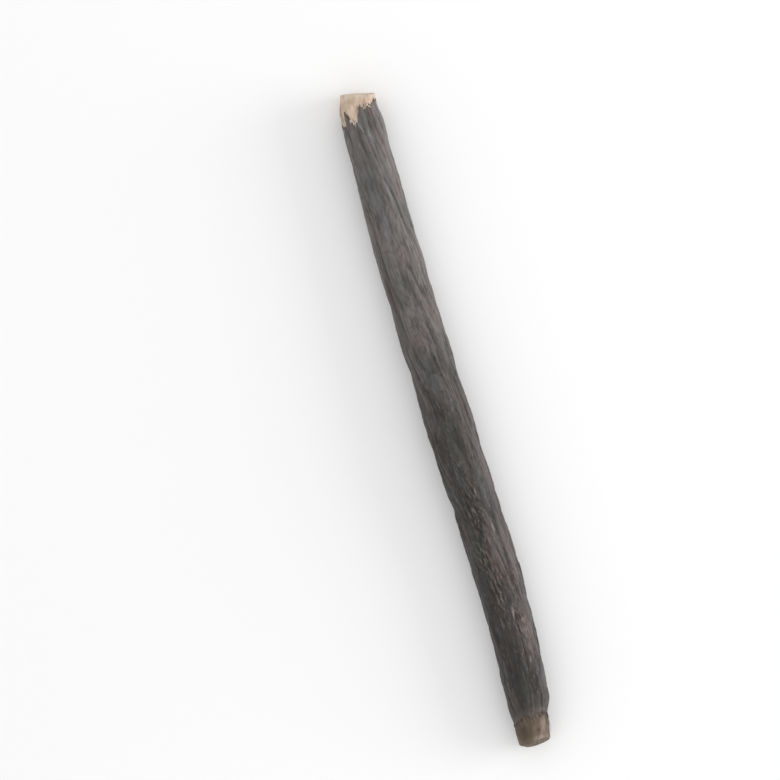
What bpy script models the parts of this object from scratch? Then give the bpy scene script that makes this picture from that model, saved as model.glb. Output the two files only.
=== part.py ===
"""A licorice root: one dried stick, lying down, with its bark torn back at both cut ends.

Metres, +Z up. The stick lies along X. Its paler end, at +X, is called the head here and the
other end the foot. The origin is on the surface that it lies on, under the middle of its box.
A turn is an angle round the stick: 0 is +Y and a quarter turn is +Z, the top.

The stick is a turned blank of one ring for each row, whose points are then moved to the real
shape: a cut face, bared wood, the torn edge of the bark, the wrinkled bark, and back again.
"""
import math
from dataclasses import dataclass

import bmesh
import bpy
from mathutils import Vector, noise

NAME = "licorice_root"
COLUMNS = 60
BARK_ROWS = 58

# The middle line seen from above, as (x, y): a slow S.
MIDDLE_LINE = (
    (-0.0770, 0.00052), (-0.0660, -0.00065), (-0.0550, -0.00113), (-0.0385, -0.00131),
    (-0.0220, -0.00068), (-0.0060, 0.00024), (0.0130, 0.00092), (0.0310, 0.00147),
    (0.0500, 0.00180), (0.0650, 0.00190), (0.0724, 0.00188), (0.0769, 0.00106),
)

# The radius over the bark, as (x, radius).
BARK_RADIUS = (
    (-0.0766, 0.00440), (-0.0657, 0.00485), (-0.0550, 0.00508), (-0.0440, 0.00513),
    (-0.0330, 0.00528), (-0.0110, 0.00533), (0.0130, 0.00512), (0.0500, 0.00490),
    (0.0660, 0.00472), (0.0769, 0.00455),
)

# It lies on two flat spots on its underside, this far apart, and arches a little between them.
REST_SPACING = 0.092
ARCH = 0.00060
PRESSED_IN = 0.00017
CALM_UNDERSIDE = 0.75

# The bark's wrinkles run along the stick and lean round it. A layer with a larger "around" has
# more and narrower wrinkles; its depth is from furrow to crest.
GRAIN_LEAN = 20.0
GRAIN_WANDER = 0.22
WANDER_LENGTH = 0.030
BROAD_WRINKLES = {"around": 2.1, "length": 0.018, "depth": 0.00042, "seed": 11.3}
FINE_WRINKLES = {"around": 3.9, "length": 0.010, "depth": 0.00028, "seed": 47.9}
SWELL = {"around": 0.8, "length": 0.026, "height": 0.00022, "seed": 83.1}

# Scars of rootlets and pores: (x, turn in degrees, half length, half width, height).
SCARS = (
    (-0.0107, 83.0, 0.0016, 0.0013, 0.00020), (0.0400, 128.0, 0.0022, 0.0017, 0.00026),
    (-0.0500, 132.0, 0.0030, 0.0016, 0.00018), (0.0180, 246.0, 0.0020, 0.0018, 0.00034),
    (-0.0380, 305.0, 0.0018, 0.0015, 0.00028), (0.0560, 338.0, 0.0024, 0.0014, 0.00024),
)
SCAR_PIT = 0.55

# The cut faces: rings at these shares of the wood's radius, and a rim that is worn round.
FACE_RINGS = (0.32, 0.58, 0.76, 0.90, 0.97)
RIM_WEAR = 0.00014
PITH_DIP = 0.00016
CHIPPED_FROM = 0.45
CRACK_HALF_WIDTH = math.radians(7.0)
CRACK_OPENS_OVER = 0.40

# Rows along the bared wood, as shares of its length, and along the torn edge of the bark.
WOOD_ROWS = (0.36, 0.70, 1.0)
EDGE_ROWS = (0.00015, 0.00060, 0.00140, 0.00270)
TEAR_AROUND = 6.5
TEAR_DEPTH = 0.00055
FLARE_LENGTH = 0.0050
FIBRE_AROUND = 3.6
FIBRE_LENGTH = 0.014
FIBRE_DEPTH = 0.00016

BARK_COLOUR = (0.113, 0.102, 0.098, 1.0)
WOOD_COLOUR = (0.430, 0.330, 0.240, 1.0)


@dataclass(frozen=True)
class End:
    """One end of the stick. Stations round it are (turn in degrees, value).

    The cut is where its face meets the middle line, and it slants that much along X for each
    metre of Y and of Z. Chipped is how far its rim is set back by wear. Cracks are (turn in
    degrees, depth, share of the radius they start at).
    """
    side: int
    cut: float
    slant_y: float
    slant_z: float
    wood: float
    bared: tuple
    flare: tuple
    lip: tuple
    feather: tuple
    chipped: tuple
    cracks: tuple
    seed: float


HEAD = End(
    side=1, cut=0.07655, slant_y=0.200, slant_z=-0.120, wood=0.00418,
    bared=(
        (0, 0.00746), (22, 0.00756), (36, 0.00746), (39.5, 0.00686), (43, 0.00392), (47, 0.00471),
        (54.5, 0.00536), (60, 0.00626), (68, 0.00641), (76, 0.00626), (85.5, 0.00421),
        (92.5, 0.00196), (97, 0.00251), (104, 0.00311), (113, 0.00241), (119, 0.00306),
        (129, 0.00246), (145, 0.00206), (156, 0.00131), (175, 0.00141), (190, 0.00171),
        (215, 0.00261), (245, 0.00466), (262, 0.00326), (290, 0.00286), (320, 0.00516),
        (345, 0.00651),
    ),
    flare=((0, 0.00040), (40, 0.00030), (80, 0.00008), (180, 0.00012), (250, 0.00028), (320, 0.00036)),
    lip=((10, 0.00014), (45, 0.00040), (90, 0.00050), (125, 0.00045), (158, 0.00010), (195, 0.00008),
         (240, 0.00040), (330, 0.00016)),
    feather=((20, 0.0030), (90, 0.0022), (130, 0.0034), (170, 0.0050), (210, 0.0044), (270, 0.0026)),
    chipped=((0, 0.00015), (90, 0.00004), (180, 0.00004), (270, 0.00020)),
    cracks=((30, 0.00042, 0.12), (120, 0.00028, 0.50), (210, 0.00048, 0.18), (300, 0.00024, 0.45)),
    seed=5.7,
)
FOOT = End(
    side=-1, cut=-0.07659, slant_y=-0.080, slant_z=0.250, wood=0.00372,
    bared=(
        (0, 0.0055), (35, 0.0056), (60, 0.0060), (90, 0.0060), (120, 0.0060), (160, 0.0056),
        (195, 0.0053), (240, 0.0046), (270, 0.0056), (300, 0.0044), (330, 0.0049),
    ),
    flare=((0, 0.00040), (90, 0.00010), (180, 0.00012), (270, 0.00020)),
    lip=((0, 0.00012), (90, 0.00016), (165, 0.00012), (250, 0.00028)),
    feather=((0, 0.0040), (90, 0.0058), (180, 0.0042), (270, 0.0040)),
    chipped=((0, 0.00110), (45, 0.00055), (90, 0.00008), (180, 0.00012), (270, 0.00025), (320, 0.00080)),
    cracks=((102, 0.00040, 0.15), (246, 0.00050, 0.10), (342, 0.00030, 0.50)),
    seed=29.3,
)


def slope_between(stations, index):
    rise = stations[index + 1][1] - stations[index][1]
    return rise / (stations[index + 1][0] - stations[index][0])


def slope_at(stations, index):
    """Slope of the curve at a station: level where it turns over, so it never overshoots."""
    if index == 0:
        return slope_between(stations, 0)
    if index == len(stations) - 1:
        return slope_between(stations, index - 1)
    before = slope_between(stations, index - 1)
    after = slope_between(stations, index)
    if before * after <= 0.0:
        return 0.0
    return 2.0 * before * after / (before + after)


def through(stations, at):
    """Value at a place on the smooth curve through the stations."""
    at = min(max(at, stations[0][0]), stations[-1][0])
    index = 0
    while index < len(stations) - 2 and stations[index + 1][0] <= at:
        index += 1
    start, start_value = stations[index]
    end, end_value = stations[index + 1]
    span = end - start
    t = (at - start) / span
    rise = end_value - start_value
    leave = slope_at(stations, index) * span
    arrive = slope_at(stations, index + 1) * span
    bend = (3.0 * rise - 2.0 * leave - arrive) * t * t
    settle = (leave + arrive - 2.0 * rise) * t * t * t
    return start_value + leave * t + bend + settle


def round_trip(stations):
    """The stations repeated before and after one turn, so that the curve closes."""
    before = [(turn - 360.0, value) for turn, value in stations[-2:]]
    after = [(turn + 360.0, value) for turn, value in stations[:2]]
    return tuple(before) + tuple(stations) + tuple(after)


def around(stations, turn):
    """Value at a turn, in radians, on the closed curve through stations in degrees."""
    return through(round_trip(stations), math.degrees(turn) % 360.0)


def ease(t):
    t = min(max(t, 0.0), 1.0)
    return t * t * (3.0 - 2.0 * t)


def ring_noise(turn, x, wide, length, seed):
    """Noise that closes round the stick: wide sets its width there and length its length along it."""
    point = Vector((wide * math.cos(turn), wide * math.sin(turn), x / length + seed))
    return noise.noise(point)


def grain_turn(x, turn):
    """The turn measured from the leaning, wandering grain of the bark."""
    wander = GRAIN_WANDER * ring_noise(turn, x, 0.9, WANDER_LENGTH, 3.1)
    return turn + GRAIN_LEAN * x + wander


def wrinkle(layer, x, turn):
    """Height of one layer of wrinkles: round crests between sharp furrows, about zero."""
    crest = abs(ring_noise(grain_turn(x, turn), x, layer["around"], layer["length"], layer["seed"]))
    return layer["depth"] * (min(crest / 0.5, 1.0) - 0.45)


def turn_apart(turn, other_degrees):
    """Shortest angle from a turn in radians to one in degrees."""
    apart = turn - math.radians(other_degrees)
    return (apart + math.pi) % (2.0 * math.pi) - math.pi


def scars(x, turn):
    """Height of the rootlet scars: low mounds with a pit in the middle."""
    height = 0.0
    for scar_x, scar_turn, half_length, half_width, rise in SCARS:
        along = (x - scar_x) / half_length
        across = turn_apart(turn, scar_turn) * through(BARK_RADIUS, x) / half_width
        far = along * along + across * across
        height += rise * (math.exp(-far) - SCAR_PIT * math.exp(-6.0 * far))
    return height


def bark_radius(x, turn):
    """Radius over the bark, away from its torn edges."""
    swell = SWELL["height"] * ring_noise(turn, x, SWELL["around"], SWELL["length"], SWELL["seed"])
    relief = wrinkle(BROAD_WRINKLES, x, turn) + wrinkle(FINE_WRINKLES, x, turn) + scars(x, turn)
    calm = 1.0 - CALM_UNDERSIDE * max(0.0, -math.sin(turn)) ** 8
    return through(BARK_RADIUS, x) + swell + relief * calm


def wood_radius(end, x, turn):
    """Radius of the bared wood, which flares out from the cut to the bark on some sides."""
    fibre = abs(ring_noise(turn, x, FIBRE_AROUND, FIBRE_LENGTH, end.seed))
    behind = end.side * (face_x(end, 1.0, turn) - x)
    flare = around(end.flare, turn) * ease(behind / FLARE_LENGTH)
    return end.wood + flare - FIBRE_DEPTH * (1.0 - min(fibre / 0.5, 1.0))


def face_x(end, share, turn):
    """Where the cut lies along X at a share of the wood's radius."""
    across = share * end.wood * math.cos(turn)
    up = share * end.wood * math.sin(turn)
    return end.cut + end.slant_y * across + end.slant_z * up


def face_dip(end, share, turn):
    """How deep the cut face is sunk there, by its pith, its worn rim and its drying cracks."""
    dip = PITH_DIP * (1.0 - ease(share / 0.4))
    dip += around(end.chipped, turn) * ease((share - CHIPPED_FROM) / (1.0 - CHIPPED_FROM))
    for crack_turn, depth, start in end.cracks:
        beside = abs(turn_apart(turn, crack_turn)) / CRACK_HALF_WIDTH
        opening = ease((share - start) / CRACK_OPENS_OVER)
        dip += depth * opening * max(0.0, 1.0 - beside)
    return dip


def bared_length(end, turn):
    """Length of bared wood from the cut to the jagged edge of the bark."""
    jag = TEAR_DEPTH * ring_noise(turn, 0.0, TEAR_AROUND, 1.0, end.seed)
    return max(around(end.bared, turn) + jag, 0.0005)


def tear_x(end, turn):
    return face_x(end, 1.0, turn) - end.side * bared_length(end, turn)


def torn_radius(end, x, turn):
    """Radius over the bark near its torn edge, where it thins to a lip on the wood."""
    inside = end.side * (tear_x(end, turn) - x)
    lip = wood_radius(end, x, turn) + around(end.lip, turn)
    grown = ease(inside / around(end.feather, turn))
    return lip + (bark_radius(x, turn) - lip) * grown


def bark_surface(x, turn):
    """Radius over the bark anywhere, thinned towards whichever torn edge is near."""
    return torn_radius(HEAD if x > 0.0 else FOOT, x, turn)


def at(x, radius, turn):
    """The point at a place along the stick, a radius and a turn, no lower than the surface."""
    wave = 0.5 + 0.5 * math.cos(2.0 * math.pi * x / REST_SPACING)
    centre_height = through(BARK_RADIUS, x) + ARCH * wave - PRESSED_IN
    y = through(MIDDLE_LINE, x) + radius * math.cos(turn)
    z = centre_height + radius * math.sin(turn)
    return Vector((x, y, max(z, 0.0)))


def face_point(end, share, turn):
    x = face_x(end, share, turn) - end.side * face_dip(end, share, turn)
    return at(x, share * wood_radius(end, x, turn), turn)


def wood_point(end, share, turn):
    start = face_x(end, 1.0, turn) - end.side * (RIM_WEAR + face_dip(end, 1.0, turn))
    x = start + share * (tear_x(end, turn) - start)
    return at(x, wood_radius(end, x, turn), turn)


def edge_point(end, inside, turn):
    x = tear_x(end, turn) - end.side * inside
    return at(x, bark_surface(x, turn), turn)


def bark_point(share, turn):
    first = tear_x(HEAD, turn) - EDGE_ROWS[-1]
    last = tear_x(FOOT, turn) + EDGE_ROWS[-1]
    x = first + share * (last - first)
    return at(x, bark_surface(x, turn), turn)


def end_rows(end):
    """Rows of one end from the middle of its cut face inwards: (maker of a point, is wood)."""
    rows = [(lambda turn: face_point(end, 0.0, turn), True)]
    rows += [(lambda turn, share=share: face_point(end, share, turn), True) for share in FACE_RINGS]
    rows += [(lambda turn, share=share: wood_point(end, share, turn), True) for share in (0.0,) + WOOD_ROWS]
    rows += [(lambda turn, inside=inside: edge_point(end, inside, turn), False) for inside in EDGE_ROWS]
    return rows


def all_rows():
    shares = [(row + 1) / (BARK_ROWS + 1) for row in range(BARK_ROWS)]
    middle = [(lambda turn, share=share: bark_point(share, turn), False) for share in shares]
    return end_rows(HEAD) + middle + end_rows(FOOT)[::-1]


def turned_blank(row_count):
    """A spool with one ring a unit apart for each row, closed at both ends, turned round X."""
    profile = bpy.data.meshes.new("blank_profile")
    points = [(float(row), 0.0 if row in (0, row_count - 1) else 1.0, 0.0) for row in range(row_count)]
    profile.from_pydata(points, [(row, row + 1) for row in range(row_count - 1)], [])
    blank = bpy.data.objects.new("blank", profile)
    bpy.context.scene.collection.objects.link(blank)
    screw = blank.modifiers.new("turn", "SCREW")
    screw.axis = "X"
    screw.steps = COLUMNS
    screw.render_steps = COLUMNS
    screw.use_merge_vertices = True
    screw.merge_threshold = 0.0001
    bpy.context.view_layer.update()
    evaluated = blank.evaluated_get(bpy.context.evaluated_depsgraph_get())
    mesh = bpy.data.meshes.new_from_object(evaluated)
    bpy.data.objects.remove(blank)
    bpy.data.meshes.remove(profile)
    return mesh


def material(name, colour, roughness):
    made = bpy.data.materials.new(name)
    made.use_nodes = True
    shader = made.node_tree.nodes["Principled BSDF"]
    shader.inputs["Base Color"].default_value = colour
    shader.inputs["Roughness"].default_value = roughness
    shader.inputs["Metallic"].default_value = 0.0
    return made


def shape_stick(mesh, rows):
    """Moves each point of the blank to its place and gives each face its material."""
    shaped = bmesh.new()
    shaped.from_mesh(mesh)
    row_of = {}
    for vert in shaped.verts:
        row = round(vert.co.x)
        row_of[vert] = row
        vert.co = rows[row][0](math.atan2(vert.co.z, vert.co.y))
    for face in shaped.faces:
        face.material_index = int(all(rows[row_of[vert]][1] for vert in face.verts))
        face.smooth = True
    bmesh.ops.recalc_face_normals(shaped, faces=shaped.faces)
    shaped.to_mesh(mesh)
    shaped.free()


def build_stick(collection):
    rows = all_rows()
    mesh = turned_blank(len(rows))
    mesh.name = NAME
    shape_stick(mesh, rows)
    mesh.materials.append(material("bark", BARK_COLOUR, 0.85))
    mesh.materials.append(material("wood", WOOD_COLOUR, 0.75))
    stick = bpy.data.objects.new(NAME, mesh)
    collection.objects.link(stick)
    return stick


def main():
    for old in list(bpy.data.objects):
        bpy.data.objects.remove(old)
    collection = bpy.data.collections.new(NAME)
    bpy.context.scene.collection.children.link(collection)
    build_stick(collection)


main()
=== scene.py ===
"""Looks of the licorice root: its wrinkled bark, bared wood, torn edges, light and camera.

Metres, +Z up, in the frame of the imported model. The stick lies along X, with its paler end, the
head, at +X and its foot at -X. A turn is an angle round the stick: 0 is +Y and a quarter turn is
+Z, the top. The large shapes are the solid's own formulas, with finer layers added to them.
"""
import math
import random
from dataclasses import dataclass

import bpy
import numpy as np
from mathutils import Matrix, Vector, noise


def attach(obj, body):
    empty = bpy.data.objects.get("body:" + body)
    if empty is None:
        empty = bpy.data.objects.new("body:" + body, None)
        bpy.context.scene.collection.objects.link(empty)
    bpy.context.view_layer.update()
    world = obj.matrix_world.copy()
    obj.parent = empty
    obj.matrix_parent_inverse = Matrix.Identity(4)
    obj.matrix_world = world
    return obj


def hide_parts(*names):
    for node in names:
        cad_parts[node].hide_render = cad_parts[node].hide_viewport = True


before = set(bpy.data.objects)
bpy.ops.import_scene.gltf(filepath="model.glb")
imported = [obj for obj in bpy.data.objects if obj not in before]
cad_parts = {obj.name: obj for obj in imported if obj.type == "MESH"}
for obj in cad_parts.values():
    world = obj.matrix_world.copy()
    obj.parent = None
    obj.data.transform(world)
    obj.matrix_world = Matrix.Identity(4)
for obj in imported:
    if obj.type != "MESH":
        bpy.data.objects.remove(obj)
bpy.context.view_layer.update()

NODE = "licorice_root"
BODY = "root"
MM = 1000.0

# The materials read the grain in millimetres, on a stick of about these radii, and how far along
# it a place is, from 0 at the foot to 1 at the head.
BARK_GRAIN_RADIUS = 5.0
WOOD_GRAIN_RADIUS = 4.0
FACE_GRAIN_RUN = 2.0
ALONG_SPAN = 0.15

# Fineness of the meshes
BARK_COLUMNS = 250
BARK_ROWS = 372
WOOD_COLUMNS = 220
WOOD_ROW_STEP = 0.00016
FACE_RINGS = 26
RIM_RINGS = 5
SPLINTER_SECTIONS = 5
SPLINTER_CORNERS = 4

# The middle line seen from above, as (x, y): a slow S.
MIDDLE_LINE = (
    (-0.077, 0.00052), (-0.066, -0.00065), (-0.055, -0.00113), (-0.0385, -0.00131),
    (-0.022, -0.00068), (-0.006, 0.00024), (0.013, 0.00092), (0.031, 0.00147),
    (0.05, 0.0018), (0.065, 0.0019), (0.0724, 0.00188), (0.0769, 0.00106),
)

# The radius over the bark, as (x, radius).
BARK_RADIUS = (
    (-0.0766, 0.0044), (-0.0657, 0.00485), (-0.055, 0.00508), (-0.044, 0.00513),
    (-0.033, 0.00528), (-0.011, 0.00533), (0.013, 0.00512), (0.05, 0.0049),
    (0.066, 0.00472), (0.0769, 0.00455),
)

# It lies on two flat spots on its underside, this far apart, and arches a little between them.
REST_SPACING = 0.092
ARCH = 0.0006
PRESSED_IN = 0.00017
CALM_UNDERSIDE = 0.75
CALM_POWER = 8

# The bark's wrinkles run along the stick and lean round it. Wander, swell and the broad, fine and
# hair wrinkles are (how much, how narrow, length, seed).
GRAIN_LEAN = 20.0
WANDER = (0.22, 0.9, 0.03, 3.1)
SWELL = (0.00022, 0.8, 0.026, 83.1)
WRINKLES = ((0.00042, 2.1, 0.018, 11.3), (0.00028, 3.9, 0.01, 47.9), (0.0001, 8.5, 0.006, 131.7))
CREST_LEVEL = 0.5
WRINKLE_MIDDLE = 0.45
RELIEF_RANGE = 0.0007

# Scales of dead bark, longest along the grain, each a little higher or lower than the next.
# They are weaker at the head and grow to their full height towards the foot.
SCALE_AROUND = 4.4
SCALE_LENGTH = 0.0034
SCALE_RIM = 0.16
SCALE_TILT = 0.6
SCALE_STEP = 0.00005
SCALE_LIFT = 0.00009
SCALE_GAP = 0.00005
SCALE_IN_TONE = 0.6
SCALE_DRAW = 9.7
SCALES_AT_HEAD = 0.55
SCALES_GROW_BY = 0.45
SCALES_GROW_FROM = 0.03
SCALES_GROW_OVER = 0.05

# Scars of rootlets and pores: (x, turn in degrees, half length, half width, height).
SCARS = (
    (-0.0107, 83.0, 0.0016, 0.0013, 0.0002), (0.04, 128.0, 0.0022, 0.0017, 0.00026),
    (-0.05, 132.0, 0.003, 0.0016, 0.00018), (0.018, 246.0, 0.002, 0.0018, 0.00034),
    (-0.038, 305.0, 0.0018, 0.0015, 0.00028), (0.056, 338.0, 0.0024, 0.0014, 0.00024),
)
SCAR_PIT = 0.55
SCAR_PIT_NARROWER = 6.0
SCAR_REACH = 3.0

# Marks on the bark by kind: (x, turn in degrees, half length, half width), in millimetres. Pale
# ones are slivers where it is rubbed or split, rosy, mossy and rusty ones are tints, dim ones
# weathering, and flecked ones are strewn with small tan and dark flecks. Ashy ones are weathering,
# and the long ashy bands in the foot half, on the side that faces the lamp, are also a painted
# highlight.
BARK_MARKS = {
    "pale": (
        (-10.5, 83, 0.5, 0.4), (-46, 103, 1.2, 0.26), (-48.4, 69, 0.7, 0.28), (-17.8, 98, 0.9, 0.2),
        (-26.5, 112, 1.1, 0.2), (-32.5, 92, 1, 0.18), (-22.2, 76, 0.8, 0.2), (45.6, 112, 1, 0.2),
        (53.6, 141, 0.7, 0.22), (64.8, 66, 0.7, 0.24), (66.5, 97, 0.4, 0.4), (-57.5, 118, 0.7, 0.22),
    ),
    "rosy": (
        (-50.5, 130, 5.8, 2.4), (-33, 98, 8, 1.5), (71.6, 132, 1.8, 0.62), (61.9, 144, 3.4, 1.1),
        (55, 145, 7, 1.3), (-69.5, 93, 1.1, 1.3), (-69.7, 128, 1.4, 0.9), (-33, 142, 12, 0.9),
        (30, 270, 10, 5), (-20, 200, 11, 3), (68.4, 57, 2, 0.8), (-10.5, 150, 9, 1),
    ),
    "mossy": (
        (70.1, 98, 2.4, 1.1), (66.2, 64, 3, 1.2), (-64, 76, 6, 2), (-28, 60, 9, 1.6),
        (-67.2, 112, 1.6, 1.6), (10, 180, 9, 3), (-7, 90, 7, 1.3), (60, 88, 6, 1.1),
        (49, 130, 3.5, 1.4),
    ),
    # Weathering, with a painted highlight in the long bands near turns 150 to 160 in the foot half.
    "ashy_and_highlight": (
        (-42, 160, 22, 1.2), (-15, 158, 14, 1.1), (-63, 151, 7.5, 1.1), (69.5, 160, 2.6, 1.1),
        (65.8, 102, 1.7, 0.9), (56, 112, 6, 0.9), (48, 78, 7, 0.9), (-29, 131, 5, 0.6),
        (-40, 320, 11, 3), (-11.5, 147, 9.5, 1.3), (-15, 116, 5, 0.8),
    ),
    "dim": (
        (71.6, 117, 1.9, 0.6), (73.5, 149, 1.3, 0.18), (67.6, 72, 0.7, 0.3), (70.7, 117, 2.2, 0.45),
        (-48, 36, 12, 1.5), (68.6, 116, 1.5, 0.8), (-25, 74, 6, 1), (-68.9, 92, 0.4, 0.5),
        (-56, 72, 11, 1.3), (30, 30, 9, 1.6), (0, 300, 12, 2),
    ),
    "rusty": ((72.9, 93.5, 0.8, 0.36), (72.3, 116, 0.9, 0.3),),
    "flecked": (
        (-24.5, 80, 6, 2), (-32.5, 68, 5, 1.6), (-40, 85, 6, 1.8), (-49, 118, 5, 1.6), (25, 300, 12, 3),
        (-10, 190, 10, 3),
    ),
}

# Marks on the bared wood, given in the same way.
WOOD_MARKS = {
    "olive": ((74.8, 61, 0.8, 1.6), (73.5, 44, 1.2, 0.7), (75.5, 77, 0.3, 0.3), (-72.8, 80, 3, 0.9),),
    "pink": (
        (74.4, 108, 0.9, 2), (72.6, 80, 1.5, 0.4), (73.8, 148, 1.2, 1.2), (-71.3, 112, 1.8, 1.2),
        (-70.5, 60, 1, 0.8),
    ),
    "ashen": (
        (71.6, 20, 3, 1.2), (74.5, 200, 1.6, 3), (75.7, 135, 0.9, 2), (-75.1, 108, 0.7, 1.2),
        (-72.2, 134, 1.6, 0.6),
    ),
    "straw": (
        (72.2, 68, 2, 0.9), (70.7, 72, 0.9, 0.9), (-75.3, 110, 0.4, 1.1), (-76.2, 110, 0.7, 1.6),
    ),
    "dark": (
        (73.8, 16, 1.8, 0.45), (71.6, 23, 1.1, 0.22), (-72.7, 51, 3.6, 2.1), (-73.3, 109, 0.3, 0.5),
        (-76.2, 60, 0.8, 1.5), (-75.7, 122, 0.3, 0.6), (-69.8, 88, 0.6, 0.7),
    ),
}
MARK_REACH = 2.5

# The split that runs from the notch at the head down the bark: (x, turn in degrees). Its line and
# the shade beside it are (distance off, half width).
SPLIT = ((0.0664, 99.0), (0.0669, 96.0), (0.0678, 84.5), (0.0688, 79.0), (0.0697, 76.0))
SPLIT_HALF_WIDTH = 0.0003
SPLIT_REACH = 3.0
SPLIT_RAISED = 0.00016
SPLIT_FAR_SIDE = -0.6
SPLIT_LINE = (0.00005, 0.00017)
SPLIT_SHADE = (-0.00034, 0.00026)

# The cut faces: dished at the pith, worn at the rim, cracked, gritty and with rays.
PITH_DIP = 0.00016
PITH_SHARE = 0.4
CHIPPED_FROM = 0.45
FACE_EDGE = 0.95
CRACK_HALF_WIDTH = 0.00013
CRACK_WAVER = 0.0003
CRACK_OPENS_OVER = 0.4
CRACK_RUNS_BACK = 0.0009
CRACK_ON_SIDE = 0.4
GRIT_HEIGHT = 0.00005
RAY_DEPTH = 0.00004
RAYS_AROUND = 14.0
RIM_BLENDS_FROM = 0.0004
RIM_BLENDS_OVER = 0.0005

# The bared wood sinks a little where the bark hides it. Fine fibres are given like wrinkles.
FLARE_LENGTH = 0.005
FIBRES = (3.6, 0.014)
FIBRE_DEPTH = 0.00016
FINE_FIBRES = ((0.00007, 11.0, 0.008, 61.0), (0.00004, 24.0, 0.005, 77.0))
SUNK_UNDER_BARK = 0.0006
SINKS_FROM = 0.0004
SINKS_OVER = 0.001
WOOD_GOES_IN = 0.002

# The torn edge of the bark. Rows of points lie close together beside it, at these distances.
# The rings that round it are (how far inside the edge, share of the lip, how bare of bark).
TEAR_AROUND = 6.5
TEAR_DEPTH = 0.00055
FINE_TEARS = ((15.0, 0.00034, 3.7), (31.0, 0.0002, 9.1))
SHORTEST_BARED = 0.0005
EDGE_ROWS = (0.0003, 0.00055, 0.00085, 0.0012, 0.0016, 0.00205, 0.00255)
EDGE_RINGS = (
    (0.0011, -0.35, 0.0), (0.00045, -0.1, 0.0), (0.00012, 0.2, 0.35),
    (0.0, 0.55, 0.8), (0.00005, 0.85, 1.0), (0.00014, 1.0, 1.0),
)
EDGE_LIFT = 0.00006
EDGE_LOOK = (0.5, 0.5, 0.1)
# The dark under the torn edge, partly raw inner bark and partly painted shade, grows with how far the edge
# is browned and is mostly hidden on the bare rings.
RAW_AND_SHADE_OVER = 0.0008
RAW_AND_SHADE_HIDDEN_WHEN_BARE = 0.75
LIP_WRINKLES = 0.00025
LIP_WRINKLES_FROM = 0.001
LIP_CALM = 0.35
LIP_LIVELY = 0.65

# Loose bits at the torn edges: a fringe of pale fibres pulled back over the lip at the head,
# strands of wood and shreds of bark. Pairs are the least and the most of a random draw. Fringes
# are (from and to turn in degrees, how many, longest), and heights are shares of the lip.
FRINGES = ((57.0, 78.0, 28, 0.00065), (97.0, 128.0, 24, 0.00042))
FRINGE_SEED = 5
FRINGE_ROOTS = (0.0, 0.0004)
FRINGE_HEIGHT = 0.9
FRINGE_SWAY = (-0.25, 0.25)
FRINGE_LENGTHS = (0.5, 1.0)
FRINGE_WIDTHS = (0.00016, 0.0003)
FRINGE_LIFT = 0.00022
STRANDS = 150
STRAND_ROOTS = (-0.0004, 0.0012)
STRAND_SUNK = 0.00006
STRAND_STOPS_SHORT = 0.0006
STRAND_LENGTHS = (0.0008, 0.0026)
SHORTEST_STRAND = 0.0005
STRAND_WIDTHS = (0.00008, 0.00018)
STRAND_LIFTS = (0.00006, 0.0002)
SHREDS = 130
SHRED_ROOT = 0.0004
SHRED_HEIGHTS = (0.2, 0.8)
SHRED_LENGTHS = (0.0006, 0.0015)
SHRED_COVERS = 0.6
SHRED_WIDTHS = (0.00012, 0.00034)
SHRED_LIFTS = (-0.00008, 0.0001)
SPLINTER_SWAY = (-0.12, 0.12)
SPLINTER_CURLS = (-0.00015, 0.00015)
SPLINTER_TAPER = 0.85
SPLINTER_FLATNESS = 0.6
SPLINTER_GRAIN = (0.0, 90.0)


@dataclass(frozen=True)
class End:
    """One end of the stick. Stations round it are (turn in degrees, value).

    The cut is where its face meets the middle line, and it slants that much along X for each
    metre of Y and of Z. Flare is how much wider the bared wood is at the bark. The bark is as
    thick as its lip at the torn edge and full past its feather, and brown as far as browned says.
    Chipped is how far the wood's rim is set back, and wear how far it is rounded. Cracks are
    (turn in degrees, depth, share of the radius they start at).
    """
    name: str
    side: int
    cut: float
    slant_y: float
    slant_z: float
    wood: float
    bared: tuple
    flare: tuple
    lip: tuple
    feather: tuple
    chipped: tuple
    cracks: tuple
    browned: tuple
    edge_shadow: float
    fades_over: float
    crack_shadow: float
    wear: float
    seed: float


HEAD = End(
    name="head", side=1, cut=0.07655, slant_y=0.2, slant_z=-0.12, wood=0.00418,
    bared=(
        (0, 0.00746), (22, 0.00756), (36, 0.00746), (39.5, 0.00686), (43, 0.00392), (47, 0.00471),
        (54.5, 0.00536), (60, 0.00626), (68, 0.00641), (76, 0.00626), (85.5, 0.00421),
        (92.5, 0.00196), (97, 0.00251), (104, 0.00311), (113, 0.00241), (119, 0.00306),
        (129, 0.00246), (145, 0.00206), (156, 0.00131), (175, 0.00141), (190, 0.00171),
        (215, 0.00261), (245, 0.00466), (262, 0.00326), (290, 0.00286), (320, 0.00516),
        (345, 0.00651),
    ),
    flare=((0, 0.0004), (40, 0.0003), (80, 0.00008), (180, 0.00012), (250, 0.00028), (320, 0.00036)),
    lip=(
        (10, 0.00014), (45, 0.0004), (90, 0.0005), (125, 0.00045), (158, 0.0001), (195, 0.00008),
        (240, 0.0004), (330, 0.00016),
    ),
    feather=((20, 0.003), (90, 0.0022), (130, 0.0034), (170, 0.005), (210, 0.0044), (270, 0.0026)),
    chipped=((0, 0.00015), (90, 0.00004), (180, 0.00004), (270, 0.0002)),
    cracks=((30, 0.00042, 0.12), (120, 0.00014, 0.5), (210, 0.00048, 0.18), (300, 0.00024, 0.45)),
    browned=(
        (0, 0.0008), (30, 0.0003), (43, 0.0021), (50, 0.0009), (60, 0.0002), (78, 0.0001),
        (86, 0.0003), (94, 0.0016), (103, 0.0003), (113, 0.0006), (120, 0.0002), (129, 0.0004),
        (145, 0.0003), (170, 0.0005), (215, 0.0014), (262, 0.0006), (320, 0.0012),
    ),
    edge_shadow=0.8,
    fades_over=0.0008,
    crack_shadow=0.8,
    wear=0.0002,
    seed=5.7,
)
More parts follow.
